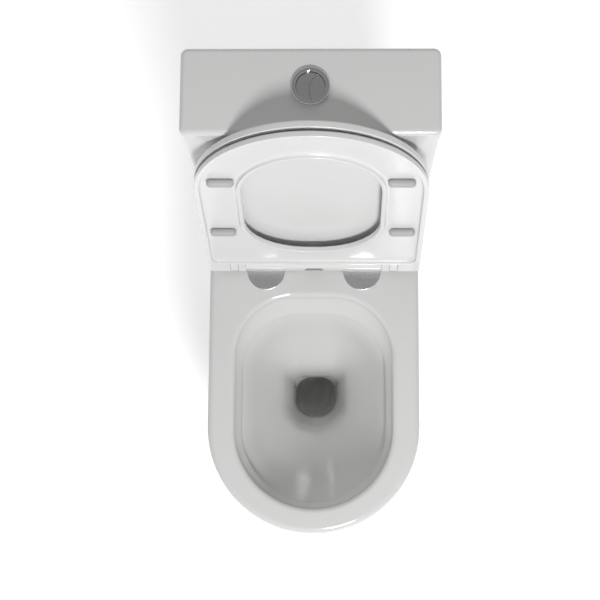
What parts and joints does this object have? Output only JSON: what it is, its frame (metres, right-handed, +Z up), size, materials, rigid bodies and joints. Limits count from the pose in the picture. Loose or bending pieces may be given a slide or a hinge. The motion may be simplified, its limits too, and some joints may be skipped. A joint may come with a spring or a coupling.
{
  "type": "close coupled toilet",
  "caption": "Close coupled toilet with a skirted rimless pan, a dual flush cistern and a slim soft close seat and lid shown raised.",
  "frame": {"origin": "on the floor, under the middle of the whole toilet's box", "axes": "+X to the right of someone facing the toilet's front, +Y to the wall, +Z up"},
  "size_m": [0.374, 0.68, 0.8633],
  "materials": {
    "ceramic_glaze": "white vitreous china under a clear gloss glaze",
    "seat_plastic": "white gloss thermoset",
    "bumper_rubber": "soft light grey, satin",
    "hinge_release": "white gloss",
    "chrome": "polished chrome plate",
    "black_rubber": "matt black rubber",
    "white_plastic": "satin moulded plastic",
    "blue_plastic": "satin moulded plastic",
    "grey_plastic": "satin moulded plastic",
    "steel": "bright zinc plated or stainless",
    "brass": "machined brass"
  },
  "bodies": {
    "root": {"bowl_and_trap": "ceramic_glaze", "button_bezel": "chrome", "button_lock_nut": "white_plastic", "cistern_lid": "ceramic_glaze", "cistern_tank": "ceramic_glaze", "coupling_bolt_seals": "black_rubber", "coupling_bolts": "brass", "coupling_gasket": "black_rubber", "coupling_washers": "steel", "coupling_wing_nuts": "grey_plastic", "fill_valve_backnut": "white_plastic", "fill_valve_body": "white_plastic", "fill_valve_head": "blue_plastic", "fill_valve_lever_pin": "steel", "fill_valve_washer": "black_rubber", "floor_brackets": "steel", "flush_valve_backnut": "white_plastic", "flush_valve_body": "white_plastic", "flush_valve_washer": "black_rubber", "full_flush_spring": "steel", "half_flush_spring": "steel", "hinge_bar": "seat_plastic", "hinge_cover_discs": "chrome", "hinge_dampers": "grey_plastic", "hinge_pins": "steel", "hinge_plates": "steel", "hinge_release_spring": "steel", "lever_pins": "steel", "pan": "ceramic_glaze", "seat_bolts": "steel", "seat_bushes": "black_rubber", "seat_washers": "steel", "seat_wing_nuts": "grey_plastic", "side_screw_caps": "white_plastic", "side_screws": "steel"},
    "seat": {"seat_ring": "seat_plastic", "seat_bumpers": "bumper_rubber"},
    "seat_cover": {"seat_lid": "seat_plastic", "lid_bumpers": "bumper_rubber"},
    "full_button": {"full_flush_button": "chrome", "full_flush_rod": "blue_plastic"},
    "half_button": {"half_flush_button": "chrome", "half_flush_rod": "blue_plastic"},
    "full_lever": {"full_flush_lever": "blue_plastic"},
    "half_lever": {"half_flush_lever": "blue_plastic"},
    "flush_piston": {"overflow_tube": "white_plastic", "flush_seal": "black_rubber"},
    "fill_float": {"fill_valve_float": "grey_plastic", "float_link": "grey_plastic"},
    "fill_lever": {"fill_valve_lever": "blue_plastic"},
    "release_button": {"hinge_release_button": "hinge_release"}
  },
  "joints": [
    {"name": "lid_hinge", "type": "hinge", "parent": "root", "child": "seat_cover", "pos_m": [0, 0.1075, 0.425], "axis": [1, 0, 0], "range_deg": [0, 102.6]},
    {"name": "seat_hinge", "type": "hinge", "parent": "root", "child": "seat", "pos_m": [0, 0.1075, 0.425], "axis": [1, 0, 0], "range_deg": [0, 102.6]},
    {"name": "full_flush_press", "type": "slide", "parent": "root", "child": "full_button", "axis": [0, 0, -1], "range_m": [0, 0.007], "stiffness_N_per_m": 300, "springref_m": -0.003, "deforming": ["full_flush_spring"]},
    {"name": "half_flush_press", "type": "slide", "parent": "root", "child": "half_button", "axis": [0, 0, -1], "range_m": [0, 0.007], "stiffness_N_per_m": 300, "springref_m": -0.003, "deforming": ["half_flush_spring"]},
    {"name": "full_flush_lever_pivot", "type": "hinge", "parent": "root", "child": "full_lever", "pos_m": [-0.024, 0.2816, 0.687], "axis": [0, -1, 0], "range_deg": [0, 24.1]},
    {"name": "half_flush_lever_pivot", "type": "hinge", "parent": "root", "child": "half_lever", "pos_m": [0.024, 0.2816, 0.687], "axis": [0, 1, 0], "range_deg": [0, 24.1]},
    {"name": "flush_valve_lift", "type": "slide", "parent": "root", "child": "flush_piston", "axis": [0, 0, 1], "range_m": [0, 0.0175]},
    {"name": "float_rise", "type": "slide", "parent": "root", "child": "fill_float", "axis": [0, 0, 1], "range_m": [0, 0.012]},
    {"name": "fill_lever_pivot", "type": "hinge", "parent": "root", "child": "fill_lever", "pos_m": [-0.139, 0.2816, 0.708], "axis": [0, -1, 0], "range_deg": [0, 18.6]},
    {"name": "hinge_release_press", "type": "slide", "parent": "root", "child": "release_button", "axis": [0, 1, 0], "range_m": [0, 0.0025], "stiffness_N_per_m": 800, "springref_m": -0.001, "deforming": ["hinge_release_spring"]}
  ],
  "couplings": [
    {"joint": "seat_hinge", "follows": "lid_hinge", "ratio": 1},
    {"joint": "full_flush_lever_pivot", "follows": "full_flush_press", "rad_per_m": 59.84},
    {"joint": "half_flush_lever_pivot", "follows": "half_flush_press", "rad_per_m": 59.84},
    {"joint": "flush_valve_lift", "follows": "full_flush_press", "ratio": 2.5},
    {"joint": "fill_lever_pivot", "follows": "float_rise", "rad_per_m": 26.907}
  ]
}
